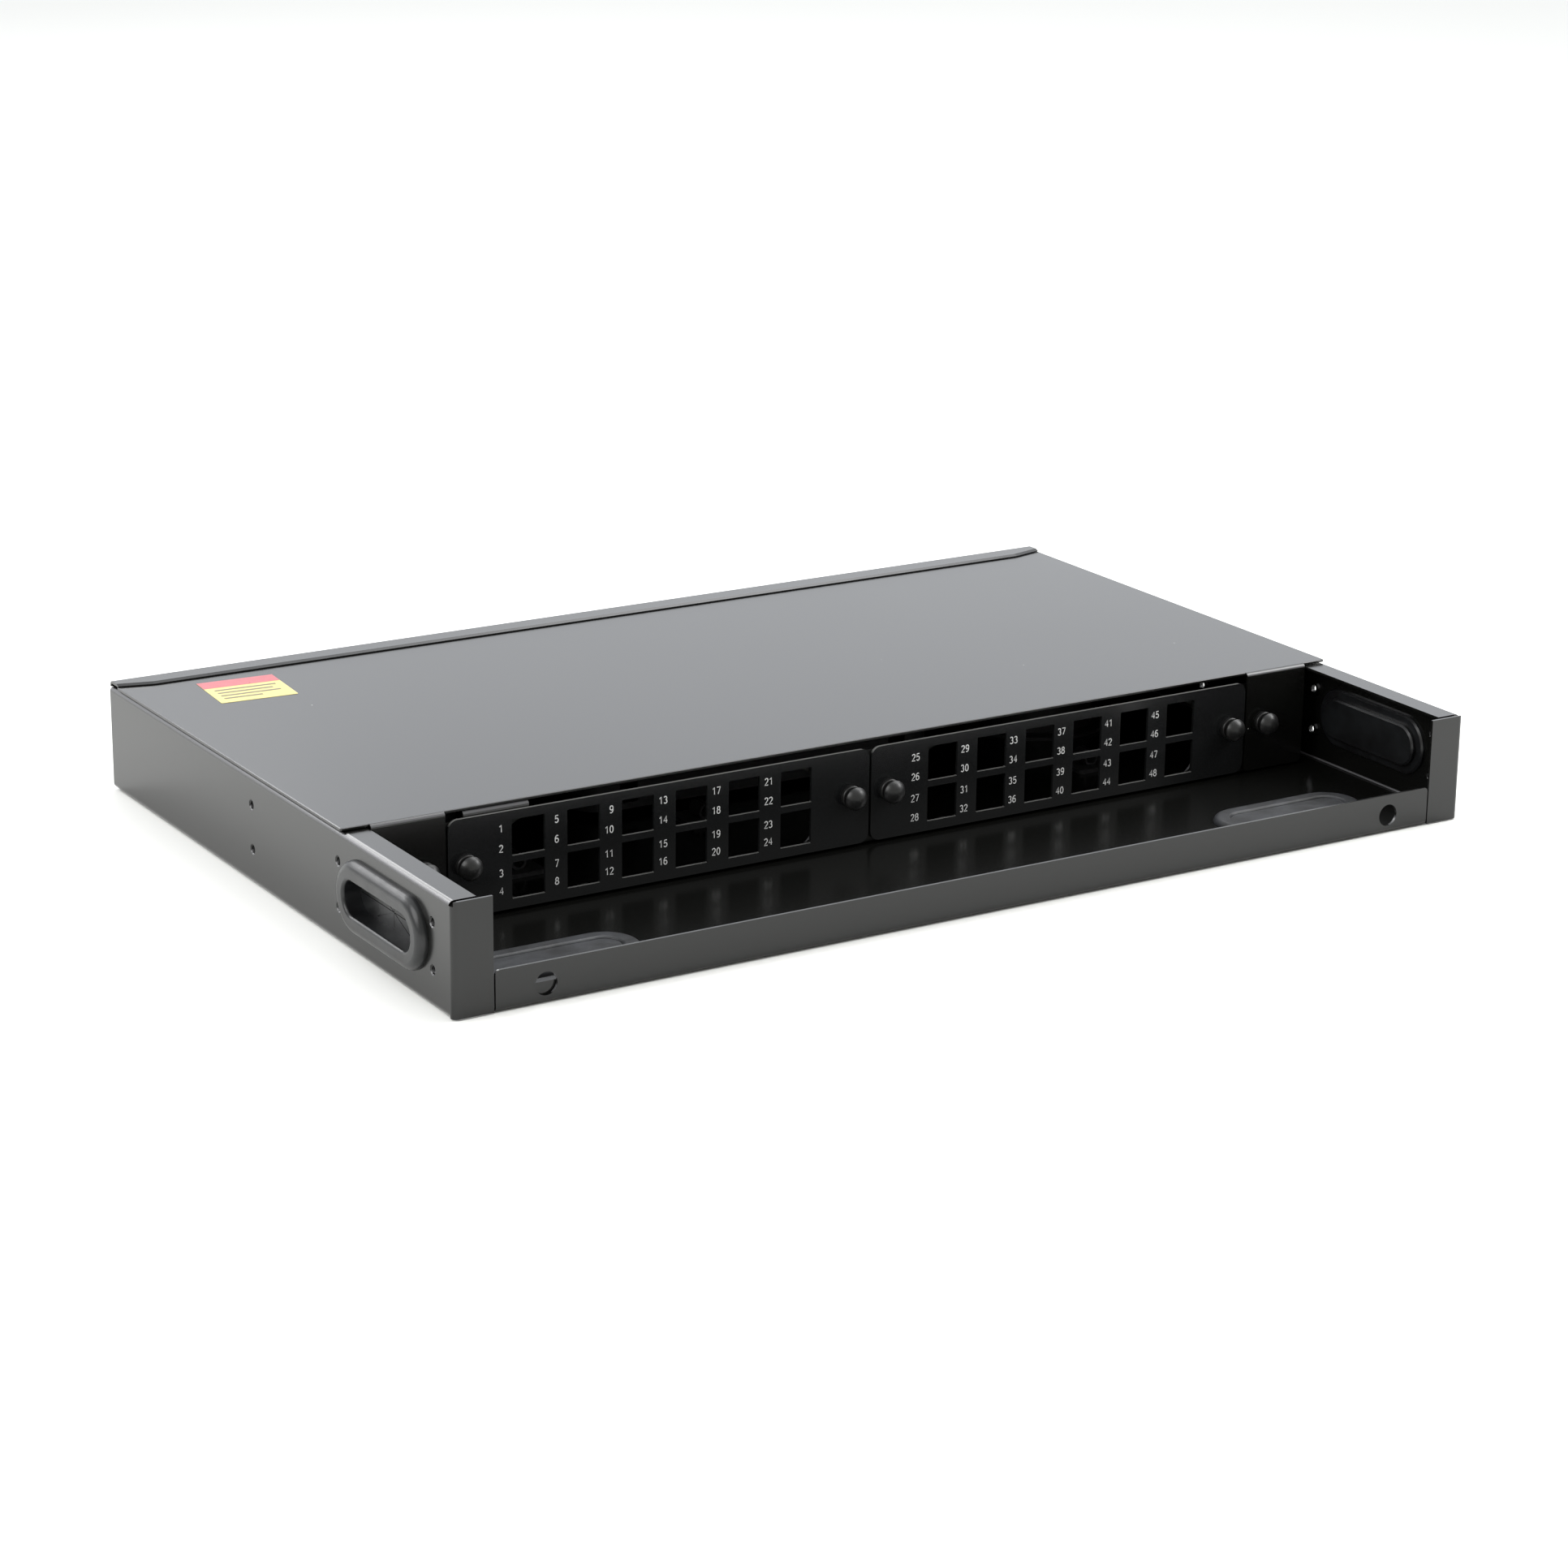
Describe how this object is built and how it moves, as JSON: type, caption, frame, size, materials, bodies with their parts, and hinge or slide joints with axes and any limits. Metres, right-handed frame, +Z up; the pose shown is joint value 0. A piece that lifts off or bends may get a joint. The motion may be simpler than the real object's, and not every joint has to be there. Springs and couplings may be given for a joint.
{
  "type": "fiber termination box",
  "caption": "Low, wide rack fibre enclosure: open front tray, windowed adapter plates on push-pull latches, slide-off top cover, slit rubber cable entries and stacked splice trays inside.",
  "frame": {"origin": "bottom centre of the box's bounding box, the rubber of the cable entries included", "axes": "+X to the right seen from the front, +Y towards the rear wall, +Z up"},
  "size_m": [0.4472, 0.2986, 0.0444],
  "materials": {
    "powder_coat": "black semi-gloss powder coat",
    "rivets": "black painted rivet",
    "entry_rubber": "soft black rubber",
    "plug_plastic": "matte black",
    "guide_plastic": "matte black",
    "clamp_plastic": "matte black",
    "zinc_steel": "bright zinc plate",
    "aluminium": "turned",
    "brass": "nickel-free turned brass",
    "tray_plastic": "moulded black",
    "comb_foam": "soft grey",
    "clear_lid": "clear",
    "latch_nylon": "satin black nylon",
    "label": "yellow sticker with a red band"
  },
  "bodies": {
    "housing": {"floor_pan": "powder_coat", "front_lip": "powder_coat", "side_wall_left": "powder_coat", "side_wall_right": "powder_coat", "rear_wall": "powder_coat", "front_frame": "powder_coat", "frame_rivets": "rivets", "side_grommet_left": "entry_rubber", "side_grommet_right": "entry_rubber", "rear_grommet_left": "entry_rubber", "rear_grommet_right": "entry_rubber", "floor_grommet_left": "entry_rubber", "floor_grommet_right": "entry_rubber", "rear_plug_left": "plug_plastic", "rear_plug_right": "plug_plastic", "slack_spool_left": "guide_plastic", "slack_spool_right": "guide_plastic", "spool_screws": "zinc_steel", "cable_clamp_base_left": "clamp_plastic", "cable_clamp_base_right": "clamp_plastic", "cable_clamp_bar_left": "clamp_plastic", "cable_clamp_bar_right": "clamp_plastic", "clamp_screws": "zinc_steel", "fibre_clips": "guide_plastic", "splice_tray_lower": "tray_plastic", "splice_tray_upper": "tray_plastic", "splice_comb_lower": "comb_foam", "splice_comb_upper": "comb_foam", "splice_tray_lid": "clear_lid", "tray_studs": "zinc_steel", "tray_sleeves": "aluminium", "tray_thumb_nuts": "brass", "earth_stud": "zinc_steel", "earth_washer": "zinc_steel", "earth_nut": "brass", "latch_keeper": "powder_coat", "keeper_rivet": "rivets"},
    "cover": {"top_cover": "powder_coat", "cover_label": "label", "cover_bushes": "latch_nylon"},
    "plate_left": {"adapter_plate_left": "powder_coat", "plate_bushes_left": "latch_nylon"},
    "plate_right": {"adapter_plate_right": "powder_coat", "plate_bushes_right": "latch_nylon"},
    "plate_plunger_outer_left_body": {"plate_plunger_outer_left": "latch_nylon"},
    "plate_plunger_inner_left_body": {"plate_plunger_inner_left": "latch_nylon"},
    "plate_plunger_inner_right_body": {"plate_plunger_inner_right": "latch_nylon"},
    "plate_plunger_outer_right_body": {"plate_plunger_outer_right": "latch_nylon"},
    "cover_plunger_left_body": {"cover_plunger_left": "latch_nylon"},
    "cover_plunger_right_body": {"cover_plunger_right": "latch_nylon"}
  },
  "joints": [
    {"name": "cover_slide", "type": "slide", "parent": "housing", "child": "cover", "axis": [0, -1, 0], "range_m": [0, 0.014]},
    {"name": "plate_left_pull", "type": "slide", "parent": "housing", "child": "plate_left", "axis": [0, -1, 0], "range_m": [0, 0.02]},
    {"name": "plate_right_pull", "type": "slide", "parent": "housing", "child": "plate_right", "axis": [0, -1, 0], "range_m": [0, 0.02]},
    {"name": "plate_plunger_outer_left_pull", "type": "slide", "parent": "plate_left", "child": "plate_plunger_outer_left_body", "axis": [0, -1, 0], "range_m": [0, 0.0045]},
    {"name": "plate_plunger_inner_left_pull", "type": "slide", "parent": "plate_left", "child": "plate_plunger_inner_left_body", "axis": [0, -1, 0], "range_m": [0, 0.0045]},
    {"name": "plate_plunger_inner_right_pull", "type": "slide", "parent": "plate_right", "child": "plate_plunger_inner_right_body", "axis": [0, -1, 0], "range_m": [0, 0.0045]},
    {"name": "plate_plunger_outer_right_pull", "type": "slide", "parent": "plate_right", "child": "plate_plunger_outer_right_body", "axis": [0, -1, 0], "range_m": [0, 0.0045]},
    {"name": "cover_plunger_left_pull", "type": "slide", "parent": "cover", "child": "cover_plunger_left_body", "axis": [0, -1, 0], "range_m": [0, 0.0045]},
    {"name": "cover_plunger_right_pull", "type": "slide", "parent": "cover", "child": "cover_plunger_right_body", "axis": [0, -1, 0], "range_m": [0, 0.0045]}
  ]
}
